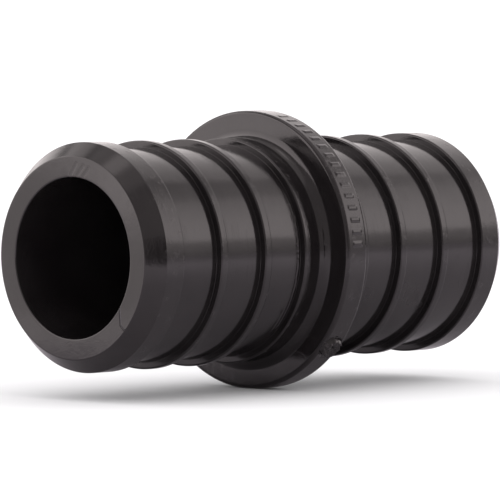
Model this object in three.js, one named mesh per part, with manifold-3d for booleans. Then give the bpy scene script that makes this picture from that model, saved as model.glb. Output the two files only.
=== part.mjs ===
// One-piece barbed insert coupling for plastic tube. Millimetres, +Z up, flow axis along X.
// The two halves mirror each other about the middle of the collar.

import * as THREE from "three";
import { mergeVertices } from "three/addons/utils/BufferGeometryUtils.js";
import Module from "manifold-3d";

const LENGTH = 40.5; // end face to end face
const BORE_D = 12.3; // straight bore, open at both ends
const BORE_BREAK = 0.12; // edge break at each mouth
const FACE_D = 15.5; // outer edge of the flat end face
const NOSE = 1.35; // length of the lead-in cone behind the end face
const BARB_D = 17.6; // crest of every barb, which grips the tube wall
const LAND_D = 16.5; // straight lands between the barbs
const NECK_D = 17.1; // between the neck ring and the collar, a little thicker than the lands
const CREST_EDGE = 0.12; // break along both edges of each crest

const COLLAR_D = 21.8; // the middle collar, which stops both tubes
const COLLAR_W = 2.3;
const COLLAR_EDGE = 0.3; // rounding of the rim's two edges
const COLLAR_ROOT = 1.2; // fillet from the collar's side down to the neck

// Distance of each crest's two edges from the middle of the collar.
const NECK_RING = { near: 2.95, far: 3.65 };
const INNER_BARB = { near: 7.35, far: 8.1 };
const OUTER_BARB = { near: 12.2, far: 12.95 };
const END_BARB = { near: 16.95, far: LENGTH / 2 - NOSE };

const SEGMENTS = 64; // round the axis
const ARC_STEPS = 3; // along each fillet of the collar

// Raised tally bars on the rim, counted round from the top.
const BARS = 15;
const BAR_FIRST_DEG = 16;
const BAR_PITCH_DEG = 5;
const BAR_LENGTH = 0.95; // along the flow axis
const BAR_WIDTH = 0.3;
const BAR_HEIGHT = 0.06;

// Gate vestige: the stub left on the rim where the moulding was broken off its runner.
const GATE_DEG = 132.5;
const GATE_D = 1.8;
const GATE_HEIGHT = 0.25;
const CRATER_D = 0.9;
const CRATER_DEPTH = 0.15;

const SUNK = 0.3; // how far anything on the rim reaches into it, so that it fuses

const wasm = await Module();
wasm.setup();

function solid(geometry) {
  geometry.deleteAttribute("normal");
  geometry.deleteAttribute("uv");
  const merged = mergeVertices(geometry, 1e-4);
  const mesh = new wasm.Mesh({
    numProp: 3,
    vertProperties: new Float32Array(merged.attributes.position.array),
    triVerts: new Uint32Array(merged.index.array),
  });
  return new wasm.Manifold(mesh);
}

function geometryOf(manifold) {
  const mesh = manifold.getMesh();
  const geometry = new THREE.BufferGeometry();
  geometry.setAttribute("position", new THREE.BufferAttribute(mesh.vertProperties, 3));
  geometry.setIndex(new THREE.BufferAttribute(mesh.triVerts, 1));
  geometry.computeVertexNormals();
  return geometry;
}

// Points of an arc; angles in quarter turns, anticlockwise from +radius towards +axis.
function arc(centreR, centreX, radius, from, to) {
  const points = [];
  for (let i = 0; i <= ARC_STEPS; i++) {
    const angle = (from + ((to - from) * i) / ARC_STEPS) * (Math.PI / 2);
    const r = centreR + radius * Math.cos(angle);
    const x = centreX + radius * Math.sin(angle);
    points.push(new THREE.Vector2(r, x));
  }
  return points;
}

// A barb from its foot straight up to its broken edge, over the crest and down again.
function barb({ near, far }, foot = LAND_D / 2) {
  return [...barbRise(near, foot), ...barbFall(far)];
}

function barbRise(x, foot = LAND_D / 2) {
  return [
    new THREE.Vector2(foot, x),
    new THREE.Vector2(BARB_D / 2 - CREST_EDGE, x),
    new THREE.Vector2(BARB_D / 2, x + CREST_EDGE),
  ];
}

function barbFall(x) {
  return [
    new THREE.Vector2(BARB_D / 2, x - CREST_EDGE),
    new THREE.Vector2(BARB_D / 2 - CREST_EDGE, x),
    new THREE.Vector2(LAND_D / 2, x),
  ];
}

// Outline of one half, from the collar's rim out to the bore's mouth: (radius, distance from middle).
function halfOutline() {
  const rim = COLLAR_D / 2 - COLLAR_EDGE;
  const side = COLLAR_W / 2;
  const root = NECK_D / 2 + COLLAR_ROOT;
  return [
    ...arc(rim, side - COLLAR_EDGE, COLLAR_EDGE, 0, 1),
    ...arc(root, side + COLLAR_ROOT, COLLAR_ROOT, 3, 2),
    ...barb(NECK_RING, NECK_D / 2),
    ...barb(INNER_BARB),
    ...barb(OUTER_BARB),
    ...barbRise(END_BARB.near),
    new THREE.Vector2(BARB_D / 2, END_BARB.far),
    new THREE.Vector2(FACE_D / 2, LENGTH / 2),
    new THREE.Vector2(BORE_D / 2 + BORE_BREAK, LENGTH / 2),
    new THREE.Vector2(BORE_D / 2, LENGTH / 2 - BORE_BREAK),
  ];
}

function turnedBody() {
  const half = halfOutline();
  const mirrored = half.map((p) => new THREE.Vector2(p.x, -p.y)).reverse();
  const outline = [...mirrored, ...half];
  outline.push(outline[0].clone());
  const geometry = new THREE.LatheGeometry(outline, SEGMENTS);
  geometry.rotateZ(-Math.PI / 2);
  return solid(geometry);
}

// Swings something built at the top of the rim round to its place, towards -Y.
function swing(geometry, degrees) {
  return geometry.rotateX(THREE.MathUtils.degToRad(degrees));
}

function tallyBar(degrees) {
  const bar = new THREE.BoxGeometry(BAR_LENGTH, BAR_WIDTH, BAR_HEIGHT + SUNK);
  bar.translate(0, 0, COLLAR_D / 2 + (BAR_HEIGHT - SUNK) / 2);
  return solid(swing(bar, degrees));
}

function gateStub() {
  const stub = new THREE.CylinderGeometry(GATE_D / 2, GATE_D / 2 + 0.1, GATE_HEIGHT + SUNK, 20);
  stub.rotateX(Math.PI / 2);
  stub.translate(0, 0, COLLAR_D / 2 + (GATE_HEIGHT - SUNK) / 2);
  return solid(swing(stub, GATE_DEG));
}

function gateCrater() {
  const crater = new THREE.CylinderGeometry(CRATER_D / 2, CRATER_D / 4, 2 * CRATER_DEPTH, 12);
  crater.rotateX(Math.PI / 2);
  crater.translate(0, 0, COLLAR_D / 2 + GATE_HEIGHT);
  return solid(swing(crater, GATE_DEG));
}

let body = turnedBody();
for (let i = 0; i < BARS; i++) {
  body = body.add(tallyBar(BAR_FIRST_DEG + i * BAR_PITCH_DEG));
}
body = body.add(gateStub()).subtract(gateCrater());

const plastic = new THREE.MeshStandardMaterial({ color: 0x262424, roughness: 0.2, metalness: 0 });
const coupling = new THREE.Mesh(geometryOf(body), plastic);
coupling.name = "coupling_body";

const part = new THREE.Group();
part.add(coupling);

export default part;
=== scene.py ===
# Barbed insert coupling: one moulding in black plastic, on a pale studio floor.
# Metres, +Z up, flow axis along X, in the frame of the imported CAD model.

import bpy
import math
from mathutils import Matrix, Vector, noise


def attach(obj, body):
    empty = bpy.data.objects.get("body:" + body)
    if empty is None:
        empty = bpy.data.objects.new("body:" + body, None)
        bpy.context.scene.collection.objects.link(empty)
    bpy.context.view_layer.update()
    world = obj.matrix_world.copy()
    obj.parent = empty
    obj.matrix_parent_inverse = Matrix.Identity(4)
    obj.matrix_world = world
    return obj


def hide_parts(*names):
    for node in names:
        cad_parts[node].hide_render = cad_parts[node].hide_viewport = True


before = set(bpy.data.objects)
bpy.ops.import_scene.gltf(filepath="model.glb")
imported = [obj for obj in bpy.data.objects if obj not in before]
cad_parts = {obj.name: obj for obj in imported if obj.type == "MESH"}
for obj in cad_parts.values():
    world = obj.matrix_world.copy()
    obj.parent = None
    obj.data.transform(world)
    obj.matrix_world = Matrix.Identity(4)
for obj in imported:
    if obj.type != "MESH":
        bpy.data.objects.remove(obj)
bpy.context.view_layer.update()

MM = 0.001

# The design's dimensions, in millimetres, as the CAD source states them.
LENGTH = 40.5
BORE_D = 12.3
FACE_D = 15.5
NOSE = 1.35
BARB_D = 17.6
LAND_D = 16.5
NECK_D = 17.1  # between the neck ring and the collar
COLLAR_D = 21.8
COLLAR_W = 2.3
COLLAR_EDGE = 0.3
COLLAR_ROOT = 1.2

# Near and far edge of each crest, from the middle of the collar.
NECK_RING = (2.95, 3.65)
INNER_BARB = (7.35, 8.1)
OUTER_BARB = (12.2, 12.95)
END_BARB_NEAR = 16.95

# Radii of the edge roundings, which the CAD leaves flat or sharp.
CREST_EDGE = 0.13
BARB_FOOT = 0.03
NOSE_EDGE = 0.12
FACE_EDGE = 0.12
MOUTH_EDGE = 0.12
HOLD = 0.015  # gap from each rounding to the point that keeps the flat beside it flat

ARC_STEPS = 5
WIDE_ARC_STEPS = 8  # for roundings wider than WIDE_ARC
WIDE_ARC = 0.5

# Angles round the axis, in degrees from +Z towards -Y: from, to and the longest step between rings.
RING_ZONES = (
    (0.0, 13.0, 1.6),
    (13.0, 89.0, 0.36),
    (89.0, 125.0, 0.7),
    (125.0, 140.0, 0.25),
    (140.0, 360.0, 2.0),
)

# Longest steps along the outline.
RIM_STEP = 0.06
FLASH_STEP = 0.07
BORE_STEP = 2.5
PLAIN_STEP = 1.0

# Ragged flash at the near neck ring's foot: where it runs round the axis, and the stretch meshed for it.
FLASH_FROM_DEG, FLASH_TO_DEG = 48, 142
FLASH_REACH = 0.8

# Raised tally bars and the gate scar on the collar's rim.
BARS = 15
BAR_FIRST_DEG = 16.0
BAR_PITCH_DEG = 5.0
BAR_LENGTH = 0.95
BAR_WIDTH = 0.3
BAR_HEIGHT = 0.055
GATE_DEG = 132.5
GATE_D = 1.8
GATE_HEIGHT = 0.25
GATE_PITS = ((-0.02, 0.0, 0.2), (0.5, -0.28, 0.16), (-0.42, 0.22, 0.15))  # along, across, size

# Marks: on the near end's face as (y, z), on the far barrel as (x, y, z).
STREAKS = (((0.14, 6.35), (-0.42, 7.15)), ((-0.6, 6.35), (-1.15, 7.0)), ((-1.2, 6.25), (-1.75, 6.85)))
HAIRLINE = (((-5.1, -3.6), (-5.2, -4.9)), ((-5.2, -4.9), (-5.75, -5.45)))
NICK = ((-5.72, -5.28), (-6.0, -5.62))
SMUDGES = (((4.4, -7.6, -3.2), (6.6, -7.3, -3.9)), ((9.0, -7.5, -3.4), (11.6, -7.0, -4.4)))


# ---------------------------------------------------------------- outline

def corners_of_half():
    """Corners from the rim's middle out to the bore's mouth: (distance from middle, radius, rounding)."""
    neck, land, crest = NECK_D / 2, LAND_D / 2, BARB_D / 2
    corners = [
        (COLLAR_W / 2, COLLAR_D / 2, COLLAR_EDGE),
        (COLLAR_W / 2, neck, COLLAR_ROOT),
    ]
    for near, far in (NECK_RING, INNER_BARB, OUTER_BARB):
        corners += [
            (near, neck if near == NECK_RING[0] else land, BARB_FOOT),
            (near, crest, CREST_EDGE),
            (far, crest, CREST_EDGE),
            (far, land, BARB_FOOT),
        ]
    corners += [
        (END_BARB_NEAR, land, BARB_FOOT),
        (END_BARB_NEAR, crest, CREST_EDGE),
        (LENGTH / 2 - NOSE, crest, NOSE_EDGE),
        (LENGTH / 2, FACE_D / 2, FACE_EDGE),
        (LENGTH / 2, BORE_D / 2, MOUTH_EDGE),
    ]
    return corners


def rounded(before, corner, after, radius, steps):
    """Points of the arc that rounds a corner between its two neighbours."""
    c = Vector(corner)
    u = (Vector(before) - c).normalized()
    v = (Vector(after) - c).normalized()
    half = u.angle(v) / 2
    reach = min(radius / math.tan(half), 0.5 * (Vector(before) - c).length,
                0.5 * (Vector(after) - c).length)
    radius = reach * math.tan(half)
    centre = c + (u + v).normalized() * (radius / math.sin(half))
    start, end = c + u * reach, c + v * reach
    a, b = start - centre, end - centre
    turn = math.atan2(a.x * b.y - a.y * b.x, a.dot(b))
    points = [tuple(start + u * HOLD)]
    for i in range(steps + 1):
        t = turn * i / steps
        points.append((centre.x + a.x * math.cos(t) - a.y * math.sin(t),
                       centre.y + a.x * math.sin(t) + a.y * math.cos(t)))
    return points + [tuple(end + v * HOLD)]


def spaced(points, step_at):
    """The polyline with extra points, so that no step from p to q is longer than step_at(p, q)."""
    out = [points[0]]
    for p, q in zip(points, points[1:]):
        length = math.hypot(q[0] - p[0], q[1] - p[1])
        count = max(1, math.ceil(length / step_at(p, q)))
        for i in range(1, count + 1):
            out.append((p[0] + (q[0] - p[0]) * i / count, p[1] + (q[1] - p[1]) * i / count))
    return out


def outline():
    """Closed outline of the wall, as (x, radius) in mm, from the rim's middle round through the bore."""
    half = corners_of_half()
    ends = [(0.0, COLLAR_D / 2)] + [c[:2] for c in half] + [(0.0, BORE_D / 2)]
    points = [ends[0]]
    for i, (x, r, radius) in enumerate(half):
        steps = WIDE_ARC_STEPS if radius > WIDE_ARC else ARC_STEPS
        points += rounded(ends[i], (x, r), ends[i + 2], radius, steps)
    points.append(ends[-1])

    def step_at(p, q):
        on_rim = min(p[1], q[1]) > COLLAR_D / 2 - 0.01
        in_bore = max(p[1], q[1]) < BORE_D / 2 + 0.01
        at_flash = NECK_RING[1] < min(abs(p[0]), abs(q[0])) < NECK_RING[1] + FLASH_REACH
        return RIM_STEP if on_rim else BORE_STEP if in_bore else FLASH_STEP if at_flash else PLAIN_STEP

    points = spaced(points, step_at)
    mirrored = [(-x, r) for x, r in reversed(points[1:-1])]
    return points + mirrored


# ---------------------------------------------------------------- raised details

def smooth(t):
    t = min(1.0, max(0.0, t))
    return t * t * (3 - 2 * t)


def bar_rise(x, degrees):
    """Height of the tally bars over the rim at a point, in mm."""
    index = round((degrees - BAR_FIRST_DEG) / BAR_PITCH_DEG)
    if not 0 <= index < BARS:
        return 0.0
    across = abs(degrees - BAR_FIRST_DEG - index * BAR_PITCH_DEG) * math.pi / 180 * COLLAR_D / 2
    inside = min(BAR_WIDTH / 2 - across, BAR_LENGTH / 2 - abs(x))
    return BAR_HEIGHT * smooth(inside / 0.16 + 0.5)


def gate_rise(x, degrees):
    """Height of the torn gate scar over the rim, in mm."""
    across = (degrees - GATE_DEG) * math.pi / 180 * COLLAR_D / 2
    d = math.hypot(across, x * 1.08)
    if d > GATE_D / 2 + 0.6:
        return 0.0
    edge = GATE_D / 2 + 0.13 * noise.noise(Vector((across * 1.9, x * 1.9, 3.0)))
    inside = smooth((edge - d) / 0.1 + 0.5)
    lump = GATE_HEIGHT * inside
    torn = 0.11 * noise.noise(Vector((across * 2.9 + 5, x * 2.9, 1.0)))
    torn += 0.1 * noise.noise(Vector((across * 6.7, x * 6.7, 8.0)))
    torn += 0.06 * noise.noise(Vector((across * 13.0, x * 13.0, 2.0)))
    pits = 0.14 * smooth(1 - d / 0.62)
    for along, aside, size in GATE_PITS:
        pits += 0.2 * smooth(1.2 - math.hypot(x - along, across - aside) / size)
    ridge = 0.09 * smooth(1 - abs(d - edge + 0.14) / 0.12)
    moat = 0.17 * smooth(1 - abs(d - edge - 0.08) / 0.18)
    return lump + (torn - pits + ridge) * inside - moat


def flash_rise(x, degrees):
    """Height of the ragged lip that the mould left at the foot of the near neck ring, in mm."""
    strength = smooth((degrees - FLASH_FROM_DEG) / 16) * smooth((FLASH_TO_DEG - degrees) / 14)
    if strength == 0.0 or not -NECK_RING[1] - 0.75 < x < -NECK_RING[1] - 0.02:
        return 0.0
    a = math.radians(degrees)
    wander = noise.noise(Vector((a * 11.0, 0.0, 5.0))) + 0.5 * noise.noise(Vector((a * 31.0, 0.0, 7.0)))
    lip = -NECK_RING[1] - 0.24 + 0.1 * wander
    height = 0.11 * smooth(1 - abs(x - lip) / 0.12)
    height += 0.06 * smooth(1 - abs(x - lip + 0.24 + 0.1 * wander) / 0.1)
    return height * strength * (0.6 + 0.8 * abs(wander))


def rise(x, radius, degrees):
    """Height of whatever stands on the turned outline at a point, in mm."""
    if radius > COLLAR_D / 2 - 0.12:
        return bar_rise(x, degrees) + gate_rise(x, degrees)
    if abs(radius - LAND_D / 2) < 0.01:
        return flash_rise(x, degrees)
    return 0.0


# ---------------------------------------------------------------- body mesh

def ring_angles():
    """Where the mesh's rings stand round the axis, closer where the rim carries detail."""
    angles = []
    for start, end, step in RING_ZONES:
        count = math.ceil((end - start) / step)
        angles += [start + (end - start) * i / count for i in range(count)]
    return angles


def body_mesh():
    ring, angles = outline(), ring_angles()
    n, m = len(ring), len(angles)
    vertices, faces = [], []
    for degrees in angles:
        a = math.radians(degrees)
        for x, r in ring:
            full = r + rise(x, r, degrees)
            vertices.append((x * MM, -full * math.sin(a) * MM, full * math.cos(a) * MM))
    for j in range(m):
        k = (j + 1) % m
        for i in range(n):
            h = (i + 1) % n
            faces.append((j * n + i, k * n + i, k * n + h, j * n + h))
    mesh = bpy.data.meshes.new("coupling")
    mesh.from_pydata(vertices, [], faces)
    mesh.validate()
    mesh.shade_smooth()
    return mesh


# ---------------------------------------------------------------- material

class Graph:
    """Short ways to add shader nodes to one material."""

    def __init__(self, mat):
        self.nodes, self.links = mat.node_tree.nodes, mat.node_tree.links

    def add(self, kind, values=None, **settings):
        node = self.nodes.new(kind)
        for key, value in settings.items():
            setattr(node, key, value)
        for key, value in (values or {}).items():
            socket = node.inputs[key]
            if isinstance(value, bpy.types.NodeSocket):
                self.links.new(value, socket)
            else:
                socket.default_value = value
        return node

    def math(self, operation, *values, clamp=False):
        node = self.add("ShaderNodeMath", dict(enumerate(values)), operation=operation)
        node.use_clamp = clamp
        return node.outputs[0]

    def most(self, values):
        """The largest of several values."""
        result = values[0]
        for value in values[1:]:
            result = self.math("MAXIMUM", result, value)
        return result

    def stretch(self, vector, scale, turn=(0, 0, 0)):
        return self.add("ShaderNodeMapping", {"Vector": vector, "Rotation": turn,
                                              "Scale": scale}).outputs[0]

    def noise(self, vector, scale, detail=2.0, rough=0.5):
        return self.add("ShaderNodeTexNoise", {"Vector": vector, "Scale": scale, "Detail": detail,
                                               "Roughness": rough}).outputs["Fac"]

    def remap(self, value, low, high, to_low=0.0, to_high=1.0):
        return self.add("ShaderNodeMapRange", {
            "Value": value, "From Min": low, "From Max": high,
            "To Min": to_low, "To Max": to_high}, interpolation_type="SMOOTHSTEP").outputs[0]

    def stroke(self, place, start, end, width):
        """1 on a straight mark between two points given in mm, fading to 0 at its sides."""
        a, b = Vector(start) * MM, Vector(end) * MM
        span = b - a
        from_a = self.add("ShaderNodeVectorMath", {0: place, 1: a}, operation="SUBTRACT").outputs[0]
        dot = self.add("ShaderNodeVectorMath", {0: from_a, 1: span / span.length_squared},
                       operation="DOT_PRODUCT").outputs["Value"]
        t = self.math("MULTIPLY", dot, 1.0, clamp=True)
        foot = self.add("ShaderNodeVectorMath", {0: span, "Scale": t}, operation="SCALE").outputs[0]
        off = self.add("ShaderNodeVectorMath", {0: from_a, 1: foot}, operation="SUBTRACT").outputs[0]
        far = self.add("ShaderNodeVectorMath", {0: off}, operation="LENGTH").outputs["Value"]
        return self.remap(far, 0.0, width * MM, 1.0, 0.0)

    def bump(self, height, distance, normal=None):
        values = {"Height": height, "Strength": 1.0, "Distance": distance}
        if normal:
            values["Normal"] = normal
        return self.add("ShaderNodeBump", values).outputs[0]


def black_plastic():
    mat = bpy.data.materials.new("black_plastic")
    mat.use_nodes = True
    g = Graph(mat)
    shader = g.nodes["Principled BSDF"]
    place = g.add("ShaderNodeTexCoord").outputs["Object"]
    xyz = g.add("ShaderNodeSeparateXYZ", {"Vector": place}).outputs
    radius = g.math("SQRT", g.math("ADD", g.math("MULTIPLY", xyz[1], xyz[1]),
                                   g.math("MULTIPLY", xyz[2], xyz[2])))

    # Moulded skin: a fine grain, a long soft waviness, and drag marks along and round the wall.
    grain = g.noise(place, 5200.0, 3.0, 0.6)
    peel = g.noise(place, 620.0, 1.0)
    along = g.noise(g.stretch(place, (0.12, 1.0, 1.0)), 1900.0, 2.0)
    around = g.noise(g.stretch(place, (7.0, 0.35, 0.35)), 700.0, 2.0)

    # Worn spots on the crests and on the collar's rim, where the part rubs.
    bore, crest, rim = BORE_D / 2 * MM, BARB_D / 2 * MM, COLLAR_D / 2 * MM
    on_crest = g.math("MULTIPLY", g.remap(radius, crest - 0.0001, crest - 0.00001),
                      g.remap(radius, crest + 0.00004, crest + 0.00013, 1.0, 0.0))
    on_rim = g.remap(radius, rim - 0.0002, rim - 0.00004)
    rubbed = g.math("MAXIMUM", on_crest, on_rim)
    spots = g.remap(g.noise(place, 1500.0, 4.0, 0.7), 0.53, 0.68)
    worn = g.math("MULTIPLY", rubbed, spots)

    # Scuffs in patches, drawn out round the barrel, and thin handling scratches, none in the bore.
    patch = g.remap(g.noise(place, 150.0, 2.0), 0.56, 0.68)
    scuff_line = g.noise(g.stretch(place, (1.0, 3.2, 0.8), (0.5, 0.0, 0.2)), 900.0, 4.0, 0.75)
    outside = g.remap(radius, bore + 0.0001, bore + 0.00025)
    scuff = g.math("MULTIPLY", g.math("MULTIPLY", patch, outside), g.remap(scuff_line, 0.5, 0.66))
    lines = []
    for turn, wide in (((0.3, 0.7, 0.2), 260.0), ((1.1, 0.1, 0.9), 330.0), ((2.2, 0.5, 1.7), 300.0)):
        waves = g.noise(g.stretch(place, (9.0, 0.5, 0.5), turn), wide, 0.0)
        line = g.remap(g.math("ABSOLUTE", g.math("SUBTRACT", waves, 0.5)), 0.0, 0.006, 1.0, 0.0)
        where = g.remap(g.noise(g.stretch(place, (1.0, 1.0, 1.0), turn), 190.0, 1.0), 0.62, 0.68)
        lines.append(g.math("MULTIPLY", line, g.math("MULTIPLY", where, outside)))
    scratches = g.most(lines)

    # Marks on the near end's face: drag streaks above the bore, and a hairline that ends in a nick.
    face = -LENGTH / 2
    streaks = [g.stroke(place, (face, *start), (face, *end), 0.3) for start, end in STREAKS]
    cuts = [g.stroke(place, (face, *start), (face, *end), 0.11) for start, end in HAIRLINE]
    cuts.append(g.stroke(place, (face, *NICK[0]), (face + 0.1, *NICK[1]), 0.16))
    streak, cut = g.most(streaks), g.most(cuts)

    # Two smudged patches low on the far barrel.
    smear = g.math("MULTIPLY", g.noise(g.stretch(place, (1.0, 0.2, 0.2)), 3200.0, 3.0, 0.6),
                   g.remap(g.noise(place, 420.0, 2.0), 0.42, 0.6))
    patches = [g.stroke(place, start, end, 1.7) for start, end in SMUDGES]
    smudge = g.math("MULTIPLY", g.most(patches), smear)

    # The gate scar's torn surface, which is duller than the skin round it: a spot, as a very short stroke.
    swung = math.radians(GATE_DEG)
    gate = (-math.sin(swung) * COLLAR_D / 2, math.cos(swung) * COLLAR_D / 2)
    torn = g.stroke(place, (0, *gate), (0.01, *gate), GATE_D * 0.75)

    # Colour: near black, a little greyer where the surface is rubbed or scuffed.
    tone = g.add("ShaderNodeMix", {"Factor": g.remap(g.noise(place, 240.0, 3.0, 0.6), 0.3, 0.7),
                                   6: (0.0075, 0.0062, 0.0066, 1), 7: (0.0115, 0.0098, 0.0101, 1)},
                 data_type="RGBA").outputs[2]
    rub = g.math("MAXIMUM", g.math("MULTIPLY", worn, 0.28), g.math("MULTIPLY", scuff, 0.22))
    rub = g.math("MAXIMUM", rub, g.math("MULTIPLY", scratches, 0.3))
    colour = g.add("ShaderNodeMix", {"Factor": rub, 6: tone, 7: (0.034, 0.03, 0.031, 1)},
                   data_type="RGBA").outputs[2]
    g.links.new(colour, shader.inputs["Base Color"])
    shader.inputs["Specular Tint"].default_value = (1.0, 0.965, 0.975, 1)

    # Gloss: a soft shine, duller in the drag marks, the scar and wherever it is worn.
    gloss = g.math("MULTIPLY_ADD", along, 0.05, 0.085)
    gloss = g.math("MULTIPLY_ADD", around, 0.04, gloss)
    gloss = g.math("MULTIPLY_ADD", worn, 0.16, gloss)
    gloss = g.math("MULTIPLY_ADD", scuff, 0.06, gloss)
    gloss = g.math("MULTIPLY_ADD", smudge, 0.45, gloss)
    gloss = g.math("MULTIPLY_ADD", torn, 0.1, gloss)
    gloss = g.math("MULTIPLY_ADD", streak, 0.28, gloss)
    g.links.new(g.math("MULTIPLY_ADD", scratches, 0.1, gloss, clamp=True), shader.inputs["Roughness"])

    normal = g.bump(peel, 0.000010)
    normal = g.bump(along, 0.0000022, normal)
    normal = g.bump(around, 0.0000018, normal)
    normal = g.bump(g.math("MULTIPLY", grain, outside), 0.0000030, normal)
    normal = g.bump(g.math("MULTIPLY_ADD", scuff, 0.4, worn), 0.000005, normal)
    normal = g.bump(g.math("MULTIPLY", scratches, -1.0), 0.0000025, normal)
    normal = g.bump(g.math("MULTIPLY_ADD", streak, -1.0, smudge), 0.000014, normal)
    normal = g.bump(g.math("MULTIPLY", cut, -1.0), 0.00004, normal)
    g.links.new(normal, shader.inputs["Normal"])
    return mat


# ---------------------------------------------------------------- build

body = bpy.data.objects.new("moulded_body", body_mesh())
bpy.context.scene.collection.objects.link(body)
body.data.materials.append(black_plastic())
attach(body, "root")
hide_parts("coupling_body")

# ---------------------------------------------------------------- stage

FLOOR_Z = -COLLAR_D / 2 * MM
FLOOR_SIDE = 30.0  # metres from the middle to each side
FLOOR_CARD_LIFT = 0.00003
# Greys of the floor card that the gloss sees: darker close to the coupling as a painted shadow of it, and
# darker again far off.
FLOOR_GREYS_WITH_PAINTED_SHADOW = ((0.0, 0.5), (0.02, 0.5), (0.035, 0.56), (0.06, 0.74), (0.1, 0.86), (0.14, 0.8),
                (0.2, 0.56), (0.4, 0.52), (3.0, 0.52))  # radius in metres, grey

TENT_RADIUS = 0.6
TENT_AROUND, TENT_RINGS = 180, 46
TENT_GLOW = 0.46  # where nothing else is said
# Brightness at each elevation in degrees: on the viewer's right, and behind the coupling.
RIGHT_GLOW = ((1, 0.7), (6, 1.0), (9, 1.1), (12, 2.3), (18, 2.25), (24, 2.1), (30, 1.8),
              (36, 1.45), (41, 0.8), (48, 0.55))
BACK_GLOW = ((0, 0.95), (6, 1.0), (10, 1.5), (34, 1.4), (44, 1.05), (52, 0.7))

# Cards in front of the near end, and the flag. Angles as in towards(), distances in metres.
NEAR_END_AZIMUTH = -136.4
END_CARD_SIZE, END_CARD_RISE, END_CARD_AWAY = (0.115, 0.095), 22, 0.1
END_CARD_GLOW = (2.1, 1.9, 2.9, 3.0)  # at its four corners
LOW_CARD_CELLS, LOW_CARD_AWAY, LOW_CARD_DROP = (46, 20), 0.06, 0.0005
FLAG_SIZE, FLAG_AZIMUTH, FLAG_RISE, FLAG_AWAY = (0.027, 0.0487), 120.6, 5.2, 0.13


def stage_object(name, mesh, material):
    mesh.materials.append(material)
    obj = bpy.data.objects.new(name, mesh)
    bpy.context.scene.collection.objects.link(obj)
    return obj


def floor_mesh():
    mesh = bpy.data.meshes.new("floor")
    side = FLOOR_SIDE
    corners = [(-side, -side), (side, -side), (side, side), (-side, side)]
    mesh.from_pydata([(x, y, FLOOR_Z) for x, y in corners], [], [(0, 1, 2, 3)])
    return mesh


def floor_material():
    mat = bpy.data.materials.new("floor")
    mat.use_nodes = True
    shader = mat.node_tree.nodes["Principled BSDF"]
    shader.inputs["Base Color"].default_value = (0.9, 0.9, 0.9, 1)
    shader.inputs["Roughness"].default_value = 1.0
    shader.inputs["Specular IOR Level"].default_value = 0.0
    return mat


def towards(azimuth, elevation):
    """Unit vector. Azimuth runs from +X towards -Y, both in degrees."""
    a, e = math.radians(azimuth), math.radians(elevation)
    return Vector((math.cos(a) * math.cos(e), -math.sin(a) * math.cos(e), math.sin(e)))


def facing(obj, azimuth, elevation, distance):
    out = towards(azimuth, elevation)
    obj.location = out * distance
    obj.rotation_mode = "QUATERNION"
    obj.rotation_quaternion = out.to_track_quat("Z", "Y")


def glow_material(name, colour):
    """Light whose strength is the mesh's own point value 'glow'."""
    mat = bpy.data.materials.new(name)
    mat.use_nodes = True
    tree = mat.node_tree
    tree.nodes.clear()
    out = tree.nodes.new("ShaderNodeOutputMaterial")
    light = tree.nodes.new("ShaderNodeEmission")
    strength = tree.nodes.new("ShaderNodeAttribute")
    strength.attribute_name = "glow"
    light.inputs["Color"].default_value = (*colour, 1)
    tree.links.new(strength.outputs["Fac"], light.inputs["Strength"])
    tree.links.new(light.outputs["Emission"], out.inputs["Surface"])
    mat.cycles.emission_sampling = "NONE"
    return mat


def glowing(name, mesh, strengths, colour=(1.0, 0.93, 0.925)):
    mesh.attributes.new("glow", "FLOAT", "POINT").data.foreach_set("value", strengths)
    obj = stage_object(name, mesh, glow_material(name, colour))
    obj.visible_camera = obj.visible_diffuse = obj.visible_shadow = False
    return obj


def flat_card(name, width, height):
    w, h = width / 2, height / 2
    mesh = bpy.data.meshes.new(name)
    mesh.from_pydata([(-w, -h, 0), (w, -h, 0), (w, h, 0), (-w, h, 0)], [], [(0, 1, 2, 3)])
    return mesh


def graded_card(name, width, height, glow_at):
    """A card in 1 mm cells and its strengths, which glow_at gives at each point in mm."""
    mesh = bpy.data.meshes.new(name)
    row = width + 1
    points = [(i - width / 2, j - height / 2) for j in range(height + 1) for i in range(row)]
    faces = [(j * row + i, j * row + i + 1, (j + 1) * row + i + 1, (j + 1) * row + i)
             for j in range(height) for i in range(width)]
    mesh.from_pydata([(x * MM, y * MM, 0) for x, y in points], [], faces)
    return mesh, [glow_at(x, y) for x, y in points]


def within(value, low, high, soft):
    """1 inside a range and 0 outside, with an edge as wide as soft."""
    return smooth((value - low) / soft + 0.5) * smooth((high - value) / soft + 0.5)


def along_table(value, table):
    for (a, p), (b, q) in zip(table, table[1:]):
        if value <= b:
            return p + (q - p) * smooth((value - a) / (b - a))
    return table[-1][1]


def tent_glow(azimuth, elevation):
    """Brightness of the light tent's wall in a direction seen from the coupling."""
    az = (azimuth + 180) % 360 - 180
    glow = TENT_GLOW
    # Bright walls: one on the viewer's right, one behind the coupling.
    right = along_table(elevation, RIGHT_GLOW) - TENT_GLOW
    glow += right * within(az, 5, 68, 6) * within(elevation, -5, 46, 5)
    back = along_table(elevation, BACK_GLOW) - TENT_GLOW
    glow += back * within(az, -72, 5, 5) * within(elevation, -5, 50, 6)
    # Dark gaps low between them.
    glow *= 1 - 0.94 * within(az, -39, 26, 5) * within(elevation, -10, 9.5, 4)
    glow *= 1 - 0.94 * within(az, -18, 26, 5) * within(elevation, 9.5, 19, 4)
    # A bright strip beside the back wall, a paler roof, and a small lamp in it.
    glow += 0.8 * within(az, -92, -72, 5) * within(elevation, 37, 56, 6)
    glow += 0.4 * smooth((elevation - 56) / 8)
    away = math.degrees(towards(az, elevation).angle(towards(-150, 78)))
    return glow + 1.0 * smooth((11 - away) / 6)


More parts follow.
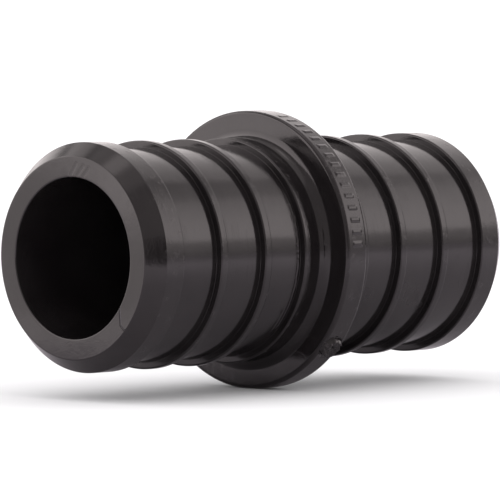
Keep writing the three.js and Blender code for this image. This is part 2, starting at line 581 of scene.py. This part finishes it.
def low_glow(x, y):
    """Brightness of the low card: what the end face mirrors is darker, but for one corner."""
    glow = 2.42 + 0.0225 * y
    corner = within(x, -0.5, 5.2, 2) * smooth((y - 0.5) / 3 + 0.5)
    face = 1.42 + 1.35 * corner + 0.9 * smooth((-6.5 - y) / 3)
    return glow + (face - glow) * within(x, -10, 8.5, 2) * smooth((6.8 - y) / 1.6)


def ring_faces(around, rings):
    """Faces between rings of points, each ring numbered after the one before it."""
    faces = []
    for j in range(rings - 1):
        for i in range(around):
            k = (i + 1) % around
            faces.append((j * around + i, j * around + k, (j + 1) * around + k, (j + 1) * around + i))
    return faces


def tent_mesh():
    vertices, strengths = [], []
    for j in range(TENT_RINGS):
        elevation = 90.0 * j / (TENT_RINGS - 1)
        for i in range(TENT_AROUND):
            azimuth = 360.0 * i / TENT_AROUND
            vertices.append(towards(azimuth, elevation) * TENT_RADIUS)
            strengths.append(tent_glow(azimuth, elevation))
    faces = ring_faces(TENT_AROUND, TENT_RINGS)
    mesh = bpy.data.meshes.new("light_tent")
    mesh.from_pydata(vertices, [], faces)
    return mesh, strengths


def floor_card():
    """The floor as the gloss sees it: greyer close to the coupling, where its shadow is painted, and again
    far off.
    """
    around = 48
    turns = [i * math.tau / around for i in range(around)]
    height = FLOOR_Z + FLOOR_CARD_LIFT
    vertices = [(r * math.cos(t), r * math.sin(t), height) for r, _ in FLOOR_GREYS_WITH_PAINTED_SHADOW for t in turns]
    mesh = bpy.data.meshes.new("floor_card")
    mesh.from_pydata(vertices, [], ring_faces(around, len(FLOOR_GREYS_WITH_PAINTED_SHADOW)))
    # The grey at each point, with the coupling's shadow painted in close to the middle.
    mesh.attributes.new("grey_with_painted_shadow", "FLOAT_COLOR", "POINT").data.foreach_set(
        "color", [c for _, v in FLOOR_GREYS_WITH_PAINTED_SHADOW for _ in turns for c in (v, v * 0.93, v * 0.98, 1)])
    mat = floor_material()
    tree = mat.node_tree
    grey_with_painted_shadow = tree.nodes.new("ShaderNodeAttribute")
    grey_with_painted_shadow.attribute_name = "grey_with_painted_shadow"
    tree.links.new(grey_with_painted_shadow.outputs["Color"], tree.nodes["Principled BSDF"].inputs["Base Color"])
    return mesh, mat


# The floor that shows, and the one that the gloss sees in its place, with the coupling's shadow painted
# into its grey.
floor = stage_object("floor", floor_mesh(), floor_material())
floor.visible_glossy = False
seen = stage_object("floor_card", *floor_card())
seen.visible_camera = seen.visible_diffuse = seen.visible_shadow = False

# Pale surroundings, which don't light the floor.
world = bpy.data.worlds.new("studio")
bpy.context.scene.world = world
world.use_nodes = True
background = world.node_tree.nodes["Background"]
background.inputs["Color"].default_value = (1.0, 0.96, 0.97, 1)
background.inputs["Strength"].default_value = 0.4
world.cycles_visibility.diffuse = False

# A light tent that the glossy wall mirrors, and two bright cards in front of the near end.
glowing("light_tent", *tent_mesh())
card = glowing("end_card", flat_card("end_card", *END_CARD_SIZE), END_CARD_GLOW)
facing(card, NEAR_END_AZIMUTH, END_CARD_RISE, END_CARD_AWAY)
card = glowing("low_card", *graded_card("low_card", *LOW_CARD_CELLS, low_glow))
facing(card, NEAR_END_AZIMUTH, 0, LOW_CARD_AWAY)
card.location += Vector((-LENGTH / 2 * MM, 0, -LOW_CARD_DROP))

# Wide soft light from overhead, which the gloss doesn't mirror.
lamp = bpy.data.lights.new("key", "SUN")
lamp.angle = math.radians(179)
lamp.energy = 4.3
lamp.color = (1.0, 0.985, 1.0)
key = bpy.data.objects.new("key", lamp)
bpy.context.scene.collection.objects.link(key)
key.rotation_mode = "QUATERNION"
key.rotation_quaternion = towards(136, 88).to_track_quat("Z", "Y")
key.visible_glossy = False

# A black flag beside the lens, which only the gloss sees.
flag_mat = bpy.data.materials.new("flag")
flag_mat.use_nodes = True
shader = flag_mat.node_tree.nodes["Principled BSDF"]
shader.inputs["Base Color"].default_value = (0.01, 0.01, 0.01, 1)
shader.inputs["Specular IOR Level"].default_value = 0.0
flag = stage_object("flag", flat_card("flag", *FLAG_SIZE), flag_mat)
facing(flag, FLAG_AZIMUTH, FLAG_RISE, FLAG_AWAY)
flag.visible_camera = flag.visible_diffuse = flag.visible_shadow = False

# ---------------------------------------------------------------- camera

AZIMUTH, ELEVATION = -46.46, 2.68
DISTANCE = 437.4 * MM
SENSOR, FOCAL = 36.0, 401.184  # in mm, as Blender states them
AIM_RIGHT, AIM_UP = -0.43175 * MM, -0.05495 * MM  # the point looked at, from the middle of the coupling
camera_data = bpy.data.cameras.new("camera")
camera = bpy.data.objects.new("camera", camera_data)
bpy.context.scene.collection.objects.link(camera)
camera_data.sensor_width = SENSOR
camera_data.lens = FOCAL
a, e = math.radians(AZIMUTH), math.radians(ELEVATION)
back = Vector((math.sin(a) * math.cos(e), -math.cos(a) * math.cos(e), math.sin(e)))
right = Vector((math.cos(a), math.sin(a), 0))
up = Vector((-math.sin(a) * math.sin(e), math.cos(a) * math.sin(e), math.cos(e)))
camera.location = back * DISTANCE + right * AIM_RIGHT + up * AIM_UP
camera.rotation_mode = "QUATERNION"
camera.rotation_quaternion = Matrix((right, up, back)).transposed().to_quaternion()
camera_data.clip_start, camera_data.clip_end = 0.01, 100.0
bpy.context.scene.camera = camera

bpy.context.scene.view_settings.view_transform = "Standard"
